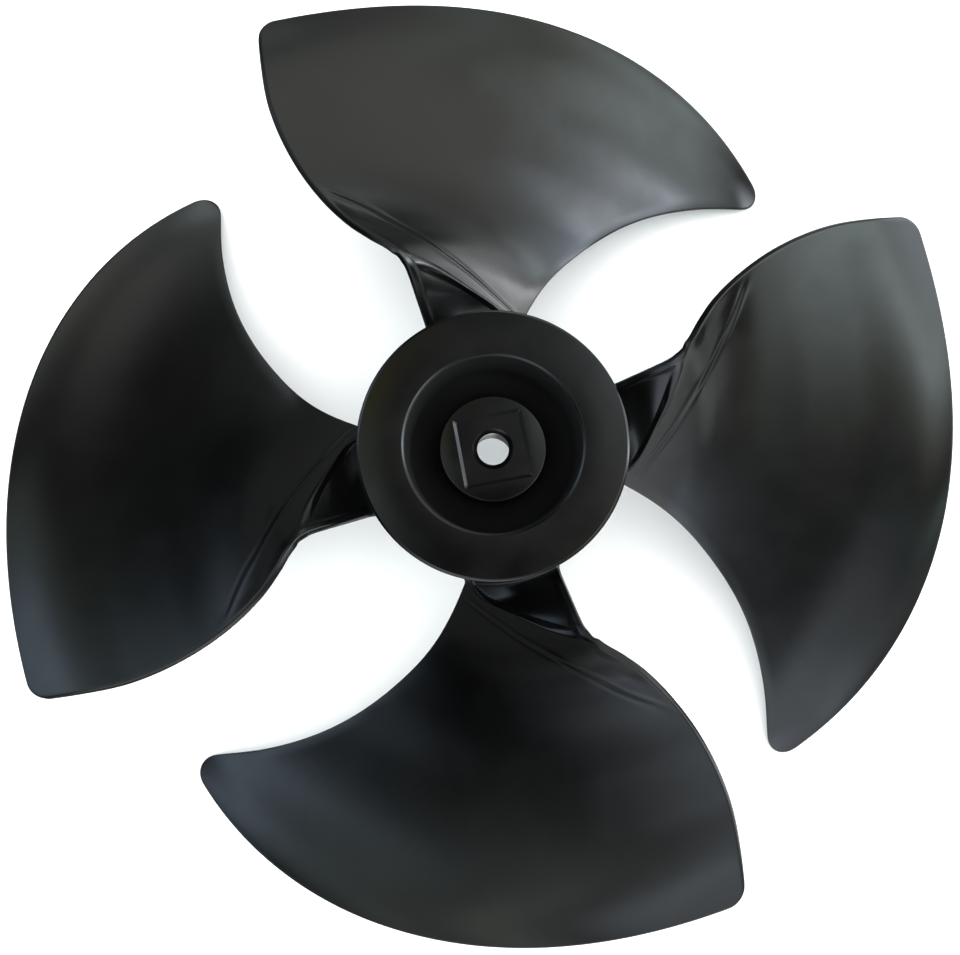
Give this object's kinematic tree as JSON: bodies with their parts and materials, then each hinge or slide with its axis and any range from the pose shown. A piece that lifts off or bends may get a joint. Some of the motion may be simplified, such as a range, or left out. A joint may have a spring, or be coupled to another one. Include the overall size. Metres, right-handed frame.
{
  "type": "axial fan rotor",
  "caption": "Moulded plastic axial fan rotor with four back-swept blades on a cup hub, a recessed shaft boss with a square recess and a through bore.",
  "frame": {"origin": "on the floor under the fan axis, the fan lying with its inlet side up", "axes": "+Z along the fan axis out of the inlet side, +X along the middle of blade_1"},
  "size_m": [0.4012, 0.4012, 0.1259],
  "materials": {
    "hub_plastic": "satin gloss black moulded plastic",
    "blade_plastic": "satin gloss black moulded plastic, faint flow marks"
  },
  "bodies": {
    "root": {"hub_face": "hub_plastic", "hub_skirt": "hub_plastic", "well_wall": "hub_plastic", "well_floor": "hub_plastic", "boss_cap": "hub_plastic", "boss_wall": "hub_plastic", "shaft_sleeve": "hub_plastic", "back_rib_1": "hub_plastic", "back_rib_2": "hub_plastic", "back_rib_3": "hub_plastic", "back_rib_4": "hub_plastic", "back_rib_5": "hub_plastic", "back_rib_6": "hub_plastic", "back_rib_7": "hub_plastic", "back_rib_8": "hub_plastic", "blade_1": "blade_plastic", "blade_2": "blade_plastic", "blade_3": "blade_plastic", "blade_4": "blade_plastic"}
  },
  "joints": []
}
